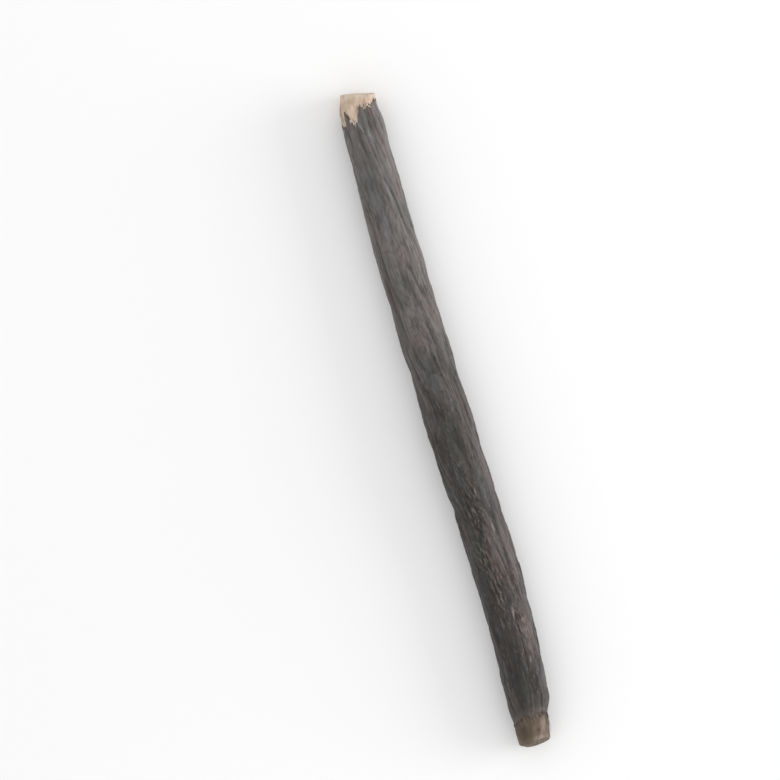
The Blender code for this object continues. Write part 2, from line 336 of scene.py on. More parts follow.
FOOT = End(
    name="foot", side=-1, cut=-0.07659, slant_y=-0.08, slant_z=0.25, wood=0.00372,
    bared=(
        (0, 0.0055), (35, 0.0056), (60, 0.006), (90, 0.006), (120, 0.006), (160, 0.0056),
        (195, 0.0053), (240, 0.0046), (270, 0.0056), (300, 0.0044), (330, 0.0049),
    ),
    flare=((0, 0.0004), (90, 0.0001), (180, 0.00012), (270, 0.0002)),
    lip=((0, 0.00005), (90, 0.00005), (165, 0.00004), (250, 0.00012)),
    feather=((0, 0.004), (90, 0.0058), (180, 0.0042), (270, 0.004)),
    chipped=((0, 0.0011), (45, 0.00055), (90, 0.00008), (180, 0.00012), (270, 0.00025), (320, 0.0008)),
    cracks=((102, 0.00014, 0.15), (246, 0.0005, 0.1), (342, 0.0003, 0.5)),
    browned=((0, 0.003), (60, 0.0036), (100, 0.004), (150, 0.0028), (200, 0.0036), (280, 0.0026)),
    edge_shadow=0.0,
    fades_over=0.0024,
    crack_shadow=0.45,
    wear=0.00034,
    seed=29.3,
)


def slope_between(stations, index):
    rise = stations[index + 1][1] - stations[index][1]
    return rise / (stations[index + 1][0] - stations[index][0])


def slope_at(stations, index):
    """Slope of the curve at a station: level where it turns over, so it never overshoots."""
    if index == 0:
        return slope_between(stations, 0)
    if index == len(stations) - 1:
        return slope_between(stations, index - 1)
    before = slope_between(stations, index - 1)
    after = slope_between(stations, index)
    if before * after <= 0.0:
        return 0.0
    return 2.0 * before * after / (before + after)


def through(stations, place):
    """Value at a place on the smooth curve through the stations."""
    place = min(max(place, stations[0][0]), stations[-1][0])
    index = 0
    while index < len(stations) - 2 and stations[index + 1][0] <= place:
        index += 1
    start, start_value = stations[index]
    end, end_value = stations[index + 1]
    span = end - start
    t = (place - start) / span
    rise = end_value - start_value
    leave = slope_at(stations, index) * span
    arrive = slope_at(stations, index + 1) * span
    bend = (3.0 * rise - 2.0 * leave - arrive) * t * t
    settle = (leave + arrive - 2.0 * rise) * t * t * t
    return start_value + leave * t + bend + settle


def round_trip(stations):
    """The stations repeated before and after one turn, so that the curve closes."""
    before = [(turn - 360.0, value) for turn, value in stations[-2:]]
    after = [(turn + 360.0, value) for turn, value in stations[:2]]
    return tuple(before) + tuple(stations) + tuple(after)


def around(stations, turn):
    """Value at a turn, in radians, on the closed curve through stations in degrees."""
    return through(round_trip(stations), math.degrees(turn) % 360.0)


def ease(t):
    t = min(max(t, 0.0), 1.0)
    return t * t * (3.0 - 2.0 * t)


def bell(distance, middle, half_width):
    return math.exp(-((distance - middle) / half_width) ** 2)


def all_turns(count):
    return [2.0 * math.pi * column / count for column in range(count)]


def ring_noise(turn, x, wide, length, seed):
    """Noise that closes round the stick: wide sets how often it changes on the way round, and
    length how long its features are along the stick.
    """
    return noise.noise(Vector((wide * math.cos(turn), wide * math.sin(turn), x / length + seed)))


def grain_turn(x, turn):
    """The turn measured from the leaning, wandering grain of the bark."""
    return turn + GRAIN_LEAN * x + WANDER[0] * ring_noise(turn, x, *WANDER[1:])


def wrinkle(layer, x, grain):
    """Height of one layer of wrinkles: round crests between sharp furrows, about zero."""
    depth, *shape = layer
    crest = abs(ring_noise(grain, x, *shape))
    return depth * (min(crest / CREST_LEVEL, 1.0) - WRINKLE_MIDDLE)


def turn_apart(turn, other_degrees):
    """Shortest angle from a turn in radians to one in degrees."""
    apart = turn - math.radians(other_degrees)
    return (apart + math.pi) % (2.0 * math.pi) - math.pi


def away_from(mark, x, turn, radius):
    """Distance from a mark's middle, squared, in its own half length and half width."""
    along = (x - mark[0]) / mark[2]
    across = turn_apart(turn, mark[1]) * radius / mark[3]
    return along * along + across * across


def scars(x, turn, radius):
    """Height of the rootlet scars: low mounds with a pit in the middle."""
    height = 0.0
    for scar in SCARS:
        if abs(x - scar[0]) < SCAR_REACH * scar[2]:
            far = away_from(scar, x, turn, radius)
            height += scar[4] * (math.exp(-far) - SCAR_PIT * math.exp(-SCAR_PIT_NARROWER * far))
    return height


def mark_strengths(marks, x, turn, radius):
    """How strongly each kind of mark shows at a place, from 0 to 1."""
    shown = {}
    x = x * MM
    for kind, places in marks.items():
        near = [mark for mark in places if abs(x - mark[0]) < MARK_REACH * mark[2]]
        strengths = [math.exp(-away_from(mark, x, turn, radius * MM)) for mark in near]
        shown[kind] = max(strengths, default=0.0)
    return shown


def scale_of_bark(x, grain):
    """(height, shade, nearness to its edge) of the scale of dead bark at a place."""
    place = Vector((SCALE_AROUND * math.cos(grain), SCALE_AROUND * math.sin(grain), x / SCALE_LENGTH))
    distances, middles = noise.voronoi(place)
    edge = ease((distances[1] - distances[0]) / SCALE_RIM)
    shade = 0.5 + 0.5 * noise.cell(middles[0] * SCALE_DRAW)
    tilt = min(max(place.z - middles[0].z, -SCALE_TILT), SCALE_TILT)
    height = SCALE_STEP * (shade - 0.5) * 2.0 + SCALE_LIFT * tilt * edge - SCALE_GAP * (1.0 - edge)
    return height, shade, 1.0 - edge


def split_distance(x, turn, radius):
    """Signed distance across the split at the head, and how far the place is along it, 0 to 1."""
    best = (1.0, 0.0)
    line = [(place, radius * math.radians(degrees)) for place, degrees in SPLIT]
    for index, (start, end) in enumerate(zip(line, line[1:])):
        run = (end[0] - start[0], end[1] - start[1])
        away = (x - start[0], radius * turn - start[1])
        t = (away[0] * run[0] + away[1] * run[1]) / (run[0] * run[0] + run[1] * run[1])
        t = min(max(t, 0.0), 1.0)
        off = (away[0] - t * run[0], away[1] - t * run[1])
        far = math.hypot(*off)
        if far < abs(best[0]):
            side = run[0] * off[1] - run[1] * off[0]
            best = (math.copysign(far, side), (index + t) / (len(SPLIT) - 1))
    return best


def split_lip(x, turn, radius):
    """Height of the split's raised lip, which stands up on one side and dips on the other."""
    far, along = split_distance(x, turn, radius)
    if abs(far) >= SPLIT_REACH * SPLIT_HALF_WIDTH:
        return 0.0
    side = SPLIT_FAR_SIDE if far < 0.0 else 1.0
    return SPLIT_RAISED * bell(far, 0.0, SPLIT_HALF_WIDTH) * side * ease(along * 2.0 + 0.2)


def wood_radius(end, x, turn):
    """Radius of the bared wood, which flares out from the cut to the bark on some sides."""
    fibre = abs(ring_noise(turn, x, *FIBRES, end.seed))
    behind = end.side * (face_x(end, 1.0, turn) - x)
    flare = around(end.flare, turn) * ease(behind / FLARE_LENGTH)
    return end.wood + flare - FIBRE_DEPTH * (1.0 - min(fibre / CREST_LEVEL, 1.0))


def fibrous_radius(end, x, turn):
    """Radius of the bared wood with its finest fibres."""
    fine = sum(deep * abs(ring_noise(turn, x, *shape)) for deep, *shape in FINE_FIBRES)
    return wood_radius(end, x, turn) - fine


def face_x(end, share, turn):
    """Where the cut lies along X at a share of the wood's radius."""
    across = share * end.wood * math.cos(turn)
    up = share * end.wood * math.sin(turn)
    return end.cut + end.slant_y * across + end.slant_z * up


def face_dip(end, share, turn):
    """How deep the cut face is sunk there, by its pith and its worn rim."""
    worn = around(end.chipped, turn) * ease((share - CHIPPED_FROM) / (1.0 - CHIPPED_FROM))
    return PITH_DIP * (1.0 - ease(share / PITH_SHARE)) + worn


def crack_opening(end, share, turn):
    """(depth, darkness) of the drying cracks at a place on the cut face."""
    depth = 0.0
    dark = 0.0
    for crack_turn, deep, start in end.cracks:
        wavering = CRACK_WAVER * ring_noise(turn, share * 0.01, 1.3, 0.004, crack_turn)
        beside = abs(turn_apart(turn, crack_turn) * share * end.wood + wavering) / CRACK_HALF_WIDTH
        opening = ease((share - start) / CRACK_OPENS_OVER) * max(0.0, 1.0 - beside)
        depth = max(depth, deep * opening)
        dark = max(dark, opening)
    return depth, dark


def bared_length(end, turn):
    """Length of bared wood from the cut to the jagged edge of the bark."""
    jag = TEAR_DEPTH * ring_noise(turn, 0.0, TEAR_AROUND, 1.0, end.seed)
    return max(around(end.bared, turn) + jag, SHORTEST_BARED)


def ragged_tear_x(end, turn):
    """Where the torn edge lies along X, with its finest teeth."""
    x = face_x(end, 1.0, turn) - end.side * bared_length(end, turn)
    for wide, deep, seed in FINE_TEARS:
        x += deep * ring_noise(turn, 0.0, wide, 1.0, seed + end.seed)
    return x


def full_bark(x, turn):
    """(radius, crest, shade, gap) of the bark away from its torn edges, from 0 to 1 but the radius.

    Crest is high on a wrinkle, shade is a scale's own, and gap is near a scale's edge.
    """
    base = through(BARK_RADIUS, x)
    swell = SWELL[0] * ring_noise(turn, x, *SWELL[1:])
    grain = grain_turn(x, turn)
    broad, fine, hair = [wrinkle(layer, x, grain) for layer in WRINKLES]
    scale, shade, gap = scale_of_bark(x, grain)
    calm = 1.0 - CALM_UNDERSIDE * max(0.0, -math.sin(turn)) ** CALM_POWER
    rough = SCALES_AT_HEAD + SCALES_GROW_BY * ease((SCALES_GROW_FROM - x) / SCALES_GROW_OVER)
    relief = broad + fine + scars(x, turn, base) + hair + scale * rough
    crest = 0.5 + (broad + fine + hair + SCALE_IN_TONE * scale) / RELIEF_RANGE
    return base + swell + relief * calm, crest, shade, gap


def at(x, radius, turn):
    """The point at a place along the stick, a radius and a turn, no lower than the surface."""
    wave = 0.5 + 0.5 * math.cos(2.0 * math.pi * x / REST_SPACING)
    centre_height = through(BARK_RADIUS, x) + ARCH * wave - PRESSED_IN
    y = through(MIDDLE_LINE, x) + radius * math.cos(turn)
    z = centre_height + radius * math.sin(turn)
    return (x, y, max(z, 0.0))


def round_grain(radius, turn, lengthwise):
    """A place in the grain: round the stick at a radius, and lengthwise along it."""
    return (radius * math.cos(turn), radius * math.sin(turn), lengthwise)


def smooth_mesh(name, points, faces, facts):
    """A mesh with the facts of its points, each a number or three, as attributes."""
    mesh = bpy.data.meshes.new(name)
    mesh.from_pydata(points, [], faces)
    for fact, values in facts.items():
        values = np.array(values, float)
        kind, field = ("FLOAT_VECTOR", "vector") if values.ndim == 2 else ("FLOAT", "value")
        mesh.attributes.new(fact, kind, "POINT").data.foreach_set(field, values.ravel())
    mesh.shade_smooth()
    mesh.update()
    return mesh


class Skin:
    """A closed mesh in the making: rings of spots round the stick, which are (point, facts).

    The facts are what colours a point. The materials read them as attributes of the mesh.
    """

    def __init__(self):
        self.rings = []
        self.facts = {}

    def add_ring(self, spots):
        self.rings.append([point for point, facts in spots])
        for name in spots[0][1]:
            self.facts.setdefault(name, []).append([facts[name] for point, facts in spots])

    def faces(self):
        """Faces that point out where the rings run towards -X."""
        count = len(self.rings[0])
        last_ring = 1 + (len(self.rings) - 1) * count
        pairs = [(column, (column + 1) % count) for column in range(count)]
        found = [(0, 1 + column, 1 + beside) for column, beside in pairs]
        for here in range(1, last_ring, count):
            there = here + count
            for column, beside in pairs:
                found.append((here + beside, here + column, there + column, there + beside))
        end = last_ring + count
        return found + [(end, last_ring + beside, last_ring + column) for column, beside in pairs]

    def mesh(self, name, first, last):
        """The rings closed by a first and a last point, which take the nearest ring's facts."""
        points = [first] + [point for ring in self.rings for point in ring] + [last]
        facts = {}
        for fact, rows in self.facts.items():
            facts[fact] = [rows[0][0]] + [value for row in rows for value in row] + [rows[-1][0]]
        return smooth_mesh(name, points, self.faces(), facts)


def add_object(name, data):
    added = bpy.data.objects.new(name, data)
    bpy.context.scene.collection.objects.link(added)
    return added


def add_piece(name, mesh, material):
    """One visible piece that stands for the solid and moves with it."""
    piece = add_object(name, mesh)
    piece.data.materials.append(material)
    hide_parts(NODE)
    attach(piece, BODY)


def bark_facts(x, turn, look, torn):
    """What colours the bark at a place."""
    crest, shade, gap = look
    base = through(BARK_RADIUS, x)
    far, along = split_distance(x, turn, base)
    return {
        "grain": round_grain(BARK_GRAIN_RADIUS, grain_turn(x, turn), x * MM),
        "crest": crest,
        "shade": shade,
        "gap": gap,
        "torn": torn,
        "along": 0.5 + x / ALONG_SPAN,
        "inner_and_shade": 0.0,
        "split": bell(far, *SPLIT_LINE) * (0.5 + 0.5 * along),
        "split_shade": bell(far, *SPLIT_SHADE) * (0.4 + 0.6 * along),
        **mark_strengths(BARK_MARKS, x, turn, base),
    }


def bark_spot(x, turn):
    """A spot on the bark, which thins to a lip on the wood towards its torn edge."""
    end = HEAD if x > 0.0 else FOOT
    full, crest, shade, gap = full_bark(x, turn)
    inside = end.side * (ragged_tear_x(end, turn) - x)
    lip = wood_radius(end, x, turn) + around(end.lip, turn)
    grown = ease(inside / around(end.feather, turn))
    radius = lip + (full - lip) * grown
    lively = LIP_CALM + LIP_LIVELY * grown
    begun = min(inside / LIP_WRINKLES_FROM, 1.0)
    radius += (1.0 - grown) * lively * LIP_WRINKLES * (crest - 0.5) * begun
    radius += split_lip(x, turn, full)
    torn = 1.0 - ease(inside / around(end.browned, turn))
    return at(x, radius, turn), bark_facts(x, turn, (crest, shade, gap), torn)


def edge_spot(end, inside, share, bare, turn):
    """A spot where the bark's lip turns in under its torn edge."""
    x = ragged_tear_x(end, turn) - end.side * inside
    radius = wood_radius(end, x, turn) + share * (around(end.lip, turn) + EDGE_LIFT)
    facts = bark_facts(x, turn, EDGE_LOOK, 1.0)
    # Under the torn edge the bark is darkened: partly the raw inner bark's own brown and partly painted
    # shade, as strong as edge_shadow says.
    raw = end.edge_shadow * min(around(end.browned, turn) / RAW_AND_SHADE_OVER, 1.0)
    facts["inner_and_shade"] = (1.0 - RAW_AND_SHADE_HIDDEN_WHEN_BARE * bare) * raw
    return at(x, radius, turn), facts


def bark_rows(turns):
    """Where the bark's points lie along X, row by row from the head's torn edge to the foot's."""
    head_tear = [ragged_tear_x(HEAD, turn) for turn in turns]
    foot_tear = [ragged_tear_x(FOOT, turn) for turn in turns]
    rows = [[x - step for x in head_tear] for step in EDGE_ROWS]
    first = rows[-1]
    last = [x + EDGE_ROWS[-1] for x in foot_tear]
    for row in range(1, BARK_ROWS):
        share = row / BARK_ROWS
        rows.append([start + share * (end - start) for start, end in zip(first, last)])
    rows.extend([x + step for x in foot_tear] for step in reversed(EDGE_ROWS))
    return rows


def middle_of(ring):
    """The middle of a ring of points, on the stick's own middle line."""
    return at(sum(point[0] for point in ring) / len(ring), 0.0, 0.0)


def build_bark(material):
    turns = all_turns(BARK_COLUMNS)
    skin = Skin()
    for inside, share, bare in EDGE_RINGS:
        skin.add_ring([edge_spot(HEAD, inside, share, bare, turn) for turn in turns])
    for row in bark_rows(turns):
        skin.add_ring([bark_spot(x, turn) for x, turn in zip(row, turns)])
    for inside, share, bare in reversed(EDGE_RINGS):
        skin.add_ring([edge_spot(FOOT, inside, share, bare, turn) for turn in turns])
    mesh = skin.mesh("bark", middle_of(skin.rings[0]), middle_of(skin.rings[-1]))
    add_piece("bark", mesh, material)


def wood_facts(end, x, turn, share, dark, rim):
    """What colours the wood at a place. A share of the radius is given on the cut face only,
    where the grain runs out from the pith.
    """
    face = share is not None
    lengthwise = end.cut * MM + end.side * FACE_GRAIN_RUN * (1.0 - share) if face else x * MM
    marked = mark_strengths(WOOD_MARKS, x, turn, end.wood)
    return {
        "grain": round_grain(WOOD_GRAIN_RADIUS, turn, lengthwise),
        "share": share if face else 1.0,
        "face": 1.0 if face else 0.0,
        "crack": dark,
        "rim": rim,
        "near_bark": 1.0 - ease(end.side * (x - ragged_tear_x(end, turn)) / end.fades_over),
        **{name: mark * (share or 1.0) ** 2 for name, mark in marked.items()},
    }


def face_spot(end, share, turn):
    """A spot on the cut face, at a share of its radius."""
    depth, dark = crack_opening(end, share, turn)
    dip = face_dip(end, share, turn) + depth
    grit = GRIT_HEIGHT * ring_noise(turn, share * 0.05, 6.0 * share + 0.4, 0.006, end.seed + 40.0)
    rays = RAY_DEPTH * abs(ring_noise(turn, share * 0.01, RAYS_AROUND, 0.02, end.seed + 20.0)) * share
    x = face_x(end, share, turn) - end.side * (dip + rays + grit)
    radius = share * fibrous_radius(end, x, turn)
    return at(x, radius, turn), wood_facts(end, x, turn, share, dark, 0.0)


def rim_wear(end, turn):
    """How far the rim of the cut is worn round."""
    return end.wear * (0.7 + 0.8 * abs(ring_noise(turn, 0.0, 5.0, 1.0, end.seed + 8.0)))


def rim_spot(end, angle, turn):
    """A spot on the worn rim, at an angle from the face round to the side."""
    wear = rim_wear(end, turn)
    depth, dark = crack_opening(end, 1.0, turn)
    dip = face_dip(end, 1.0, turn) + depth
    x = face_x(end, 1.0, turn) - end.side * (dip + wear * (1.0 - math.cos(angle)))
    radius = fibrous_radius(end, x, turn) - wear * (1.0 - math.sin(angle))
    return at(x, radius, turn), wood_facts(end, x, turn, 1.0, dark * 0.8, 1.0)


def side_spot(end, behind, turn):
    """A spot on the side of the wood, some way behind the rim."""
    start = face_x(end, 1.0, turn) - end.side * (face_dip(end, 1.0, turn) + rim_wear(end, turn))
    depth, dark = crack_opening(end, 1.0, turn)
    fade = max(0.0, 1.0 - behind / CRACK_RUNS_BACK)
    x = start - end.side * (behind + depth * fade)
    covered = end.side * (ragged_tear_x(end, turn) - x)
    radius = fibrous_radius(end, x, turn) - depth * CRACK_ON_SIDE * fade
    radius -= SUNK_UNDER_BARK * ease((covered - SINKS_FROM) / SINKS_OVER)
    rim = 1.0 - ease((behind - RIM_BLENDS_FROM) / RIM_BLENDS_OVER)
    return at(x, radius, turn), wood_facts(end, x, turn, None, dark * fade, rim)


def build_wood(end, material):
    name = end.name + "_wood"
    turns = all_turns(WOOD_COLUMNS)
    skin = Skin()
    for ring in range(1, FACE_RINGS + 1):
        share = FACE_EDGE * ring / FACE_RINGS
        skin.add_ring([face_spot(end, share, turn) for turn in turns])
    for step in range(1, RIM_RINGS + 1):
        angle = 0.5 * math.pi * step / RIM_RINGS
        skin.add_ring([rim_spot(end, angle, turn) for turn in turns])
    longest = max(bared_length(end, turn) for turn in turns) + WOOD_GOES_IN
    behind = 0.5 * WOOD_ROW_STEP
    while behind < longest:
        skin.add_ring([side_spot(end, behind, turn) for turn in turns])
        behind += WOOD_ROW_STEP
    pith = face_spot(end, 0.0, 0.0)[0]
    deep_inside = at(end.cut - end.side * (longest + WOOD_GOES_IN), 0.0, 0.0)
    mesh = skin.mesh(name, pith, deep_inside)
    if end.side < 0:
        mesh.flip_normals()
    add_piece(name, mesh, material)


class Splinters:
    """Thin closed splinters in the making, drawn at random from a seed."""

    def __init__(self, seed):
        self.draw = random.Random(seed).uniform
        self.points = []
        self.faces = []
        self.grain = []

    def add(self, root, turn, forward, sway, length, width, lift, curl):
        """Adds one that runs from its root forward along X and tapers to a point.

        It sways aside by a share of its length, and lifts off and curls aside towards its tip.
        """
        up = Vector((0.0, math.cos(turn), math.sin(turn)))
        along = (Vector((forward, 0.0, 0.0)) + Vector((0.0, -up.z, up.y)) * sway).normalized()
        across = along.cross(up).normalized()
        start = len(self.points)
        for section in range(SPLINTER_SECTIONS):
            t = section / (SPLINTER_SECTIONS - 1)
            middle = Vector(root) + along * (length * t) + up * (lift * t * t) + across * (curl * t * t)
            half = width * 0.5 * (1.0 - SPLINTER_TAPER * t)
            thick = half * SPLINTER_FLATNESS
            self.points.extend(tuple(corner) for corner in (
                middle - across * half, middle + up * thick, middle + across * half, middle - up * thick,
            ))
        tip = len(self.points) - SPLINTER_CORNERS
        for here in range(start, tip, SPLINTER_CORNERS):
            there = here + SPLINTER_CORNERS
            for corner in range(SPLINTER_CORNERS):
                beside = (corner + 1) % SPLINTER_CORNERS
                self.faces.append((here + corner, here + beside, there + beside, there + corner))
        self.faces.append(tuple(reversed(range(start, start + SPLINTER_CORNERS))))
        self.faces.append(tuple(range(tip, tip + SPLINTER_CORNERS)))
        place = round_grain(BARK_GRAIN_RADIUS, turn, self.draw(*SPLINTER_GRAIN))
        self.grain.extend([place] * (SPLINTER_SECTIONS * SPLINTER_CORNERS))

    def add_as_piece(self, name, material):
        mesh = smooth_mesh(name, self.points, self.faces, {"grain": self.grain})
        add_piece(name, mesh, material)


def build_fringe(material):
    """Pale fibres pulled back over the bark's lip, at the turns where the edge is frayed."""
    splinters = Splinters(FRINGE_SEED)
    draw = splinters.draw
    for start, end, count, longest in FRINGES:
        for _ in range(count):
            turn = math.radians(draw(start, end))
            x = ragged_tear_x(HEAD, turn) + draw(*FRINGE_ROOTS)
            radius = wood_radius(HEAD, x, turn) + around(HEAD.lip, turn) * FRINGE_HEIGHT
            sway = draw(*FRINGE_SWAY)
            length = draw(*FRINGE_LENGTHS) * longest
            width = draw(*FRINGE_WIDTHS)
            splinters.add(at(x, radius, turn), turn, -HEAD.side, sway, length, width, FRINGE_LIFT, 0.0)
    splinters.add_as_piece("head_fringe", material)


def strand(end, turn, draw):
    """(root, length, width, lift) of a strand of wood, or None where it would be too short."""
    x = ragged_tear_x(end, turn) + end.side * draw(*STRAND_ROOTS)
    radius = wood_radius(end, x, turn) - STRAND_SUNK
    room = abs(face_x(end, 1.0, turn) - x) - STRAND_STOPS_SHORT
    length = min(draw(*STRAND_LENGTHS), room)
    width = draw(*STRAND_WIDTHS)
    if length < SHORTEST_STRAND:
        return None
    return at(x, radius, turn), length, width, draw(*STRAND_LIFTS)


def shred(end, turn, draw):
    """(root, length, width, lift) of a shred of bark that reaches out over the wood."""
    x = ragged_tear_x(end, turn) - end.side * SHRED_ROOT
    radius = wood_radius(end, x, turn) + around(end.lip, turn) * draw(*SHRED_HEIGHTS)
    length = min(draw(*SHRED_LENGTHS), bared_length(end, turn) * SHRED_COVERS)
    width = draw(*SHRED_WIDTHS)
    return at(x, radius, turn), length, width, draw(*SHRED_LIFTS)


def build_splinters(end, name, material, count, seed, kind):
    """Short strands or shreds, as the kind says, all round the torn edge."""
    splinters = Splinters(seed)
    draw = splinters.draw
    for _ in range(count):
        turn = draw(0.0, 2.0 * math.pi)
        found = kind(end, turn, draw)
        if found is not None:
            root, length, width, lift = found
            sway = draw(*SPLINTER_SWAY)
            curl = draw(*SPLINTER_CURLS)
            splinters.add(root, turn, end.side, sway, length, width, lift, curl)
    splinters.add_as_piece(name, material)


# Noises over the grain: (scale round the stick, scale along it, shift, detail, roughness).
BARK_NOISES = {
    "streaks": (1.9, 0.3, 0.0, 4.0, 0.62),
    "fibres": (6.5, 0.75, 31.0, 3.0, 0.6),
    "blotches": (0.34, 0.13, 7.0, 3.0, 0.5),
    "browns": (0.75, 0.16, 53.0, 3.0, 0.55),
    "strokes": (3.4, 0.92, 91.0, 2.0, 0.5),
    "chinks": (3.8, 0.8, 137.0, 2.0, 0.5),
    "flecks": (2.3, 0.62, 67.0, 2.0, 0.5),
    "grit": (9.0, 5.0, 17.0, 3.0, 0.6),
}
WOOD_NOISES = {
    "streaks": (1.9, 0.42, 0.0, 4.0, 0.6),
    "fibres": (8.0, 0.9, 13.0, 3.0, 0.6),
    "patches": (0.75, 0.45, 29.0, 2.0, 0.5),
    "pores": (14.0, 5.0, 3.0, 2.0, 0.5),
}
SPLINTER_NOISE = (2.0, 0.7, 0.0, 3.0, 0.6)
FLOOR_NOISE = (3.0, 3.0, 0.0, 2.0, 0.5)

# Colours of the bark. Tones are (level of the tone, colour), and pairs are (at the foot, at the
# head). The tints of the marks come with how much of them shows at most. Each colour is paler at
# the head: partly the bark's own weathering and partly painted light, with the head painted as
# lit brighter and the foot as lying in more shade.
BARK_TONES = (
    ((0.36, (0.024, 0.021, 0.02)), (0.5, (0.046, 0.041, 0.039)), (0.64, (0.094, 0.084, 0.079))),
    ((0.34, (0.086, 0.078, 0.075)), (0.5, (0.136, 0.123, 0.118)), (0.66, (0.196, 0.178, 0.172))),
)
BROWN = ((0.082, 0.054, 0.042), (0.15, 0.118, 0.112))
GREY = ((0.062, 0.064, 0.062), (0.118, 0.122, 0.115))
TORN = ((0.1, 0.078, 0.07), (0.19, 0.125, 0.095))
# Painted shade for the furrows between the wrinkles.
FURROW_SHADE = (0.028, 0.024, 0.022)
SCALE_EDGE = (0.028, 0.023, 0.021)
STROKE = (0.2, 0.173, 0.152)
CHINK = (0.02, 0.017, 0.016)
RUBBED = (0.3, 0.268, 0.245)
SPLIT_DARK = (0.05, 0.046, 0.043)
SPLIT_PALE = (0.31, 0.3, 0.285)
DARK_FLECK = (0.022, 0.018, 0.017)
TAN_FLECK = (0.205, 0.16, 0.135)
# Dark brown under the torn edge: partly inner bark and partly painted shade.
INNER_BARK_AND_SHADE = (0.06, 0.036, 0.026)
BARK_TINTS = {
    "mossy": ((0.043, 0.045, 0.038), (0.104, 0.107, 0.098), 0.75),
    # Paler grey: weathering, and on the side that faces the lamp also a painted highlight.
    "ashy_and_highlight": ((0.125, 0.117, 0.117), (0.19, 0.188, 0.19), 0.6),
    "rosy": ((0.15, 0.12, 0.118), (0.19, 0.15, 0.147), 0.68),
    "dim": ((0.026, 0.024, 0.023), (0.066, 0.051, 0.046), 0.82),
    "rusty": ((0.09, 0.056, 0.042), (0.15, 0.082, 0.058), 0.8),
}

# Colours of the wood in the same way, and how much of each kind of mark shows at most. The foot's
# wood is darker partly by its own colour and partly by painted shade.
WOOD_TONES = (
    ((0.34, (0.072, 0.052, 0.036)), (0.5, (0.126, 0.095, 0.069)), (0.66, (0.208, 0.166, 0.128))),
    ((0.34, (0.51, 0.37, 0.28)), (0.5, (0.67, 0.515, 0.405)), (0.66, (0.78, 0.645, 0.52))),
)
WOOD_COLOURS = {
    "face": ((0.185, 0.144, 0.106), (0.61, 0.515, 0.425)),
    "pink": ((0.225, 0.165, 0.138), (0.405, 0.28, 0.21)),
    "olive": ((0.128, 0.1, 0.064), (0.4, 0.322, 0.195)),
    "ashen": ((0.27, 0.225, 0.18), (0.4, 0.335, 0.28)),
    "straw": ((0.3, 0.255, 0.205), (0.73, 0.585, 0.465)),
    "dark": ((0.052, 0.034, 0.023), (0.12, 0.08, 0.055)),
    "beside_bark": ((0.105, 0.08, 0.065), (0.69, 0.59, 0.5)),
}
WOOD_TINTS = {"pink": 0.75, "olive": 0.8, "ashen": 0.8, "straw": 0.8, "dark": 0.8}
IN_THE_CRACK = (0.045, 0.028, 0.018)


class Painter:
    """Short calls that add nodes to one material and join them."""

    def __init__(self, name, roughness, specular):
        self.material = bpy.data.materials.new(name)
        self.material.use_nodes = True
        self.nodes = self.material.node_tree.nodes
        self.links = self.material.node_tree.links
        self.shader = self.nodes["Principled BSDF"]
        self.colour = None
        self.fill(self.shader, {"Roughness": roughness, "Specular IOR Level": specular})

    def fill(self, node, inputs):
        """Joins inputs to the outputs of other nodes, or sets them to values."""
        for key, value in inputs.items():
            if isinstance(value, bpy.types.NodeSocket):
                self.links.new(value, node.inputs[key])
            else:
                node.inputs[key].default_value = value

    def add(self, kind, inputs):
        node = self.nodes.new("ShaderNode" + kind)
        self.fill(node, inputs)
        return node

    def fact(self, name, output="Fac"):
        node = self.add("Attribute", {})
        node.attribute_name = name
        return node.outputs[output]

    def noise(self, vector, around, along, shift, detail, roughness):
        """Noise with its own scale round the stick and along it."""
        place = {"Vector": vector, "Scale": (around, around, along), "Location": (shift, shift, shift)}
        moved = self.add("Mapping", place).outputs["Vector"]
        looks = {"Vector": moved, "Scale": 1.0, "Detail": detail, "Roughness": roughness}
        return self.add("TexNoise", looks).outputs["Fac"]

    def math(self, operation, first, second):
        node = self.add("Math", {0: first, 1: second})
        node.operation = operation
        return node.outputs[0]

    def times(self, first, second):
        return self.math("MULTIPLY", first, second)

    def spread(self, value, low, high, to_low=0.0, to_high=1.0):
        """The value stretched from one range to another, and held inside it."""
        ranges = {"From Min": low, "From Max": high, "To Min": to_low, "To Max": to_high}
        node = self.add("MapRange", {"Value": value, **ranges})
        node.interpolation_type = "SMOOTHSTEP"
        return node.outputs["Result"]

    def ramp(self, value, stops):
        node = self.add("ValToRGB", {"Fac": value})
        elements = node.color_ramp.elements
        while len(elements) < len(stops):
            elements.new(0.5)
        for element, (place, colour) in zip(elements, stops):
            element.position = place
            element.color = (*colour, 1.0)
        return node.outputs["Color"]

    def mix(self, factor, first, second):
        node = self.add("Mix", {})
        node.data_type = "RGBA"
        first, second = [(*one, 1.0) if isinstance(one, tuple) else one for one in (first, second)]
        self.fill(node, {0: factor, 6: first, 7: second})
        return node.outputs[2]

    def over(self, factor, colour):
        """Lays another colour over the painter's own, by a factor."""
        self.colour = self.mix(factor, self.colour, colour)

    def bump(self, height, distance, strength, inputs=None):
        looks = {"Strength": strength, "Distance": distance, "Height": height, **(inputs or {})}
        return self.add("Bump", looks).outputs["Normal"]

    def finish(self, colour, normal):
        self.fill(self.shader, {"Base Color": colour, "Normal": normal})
        return self.material


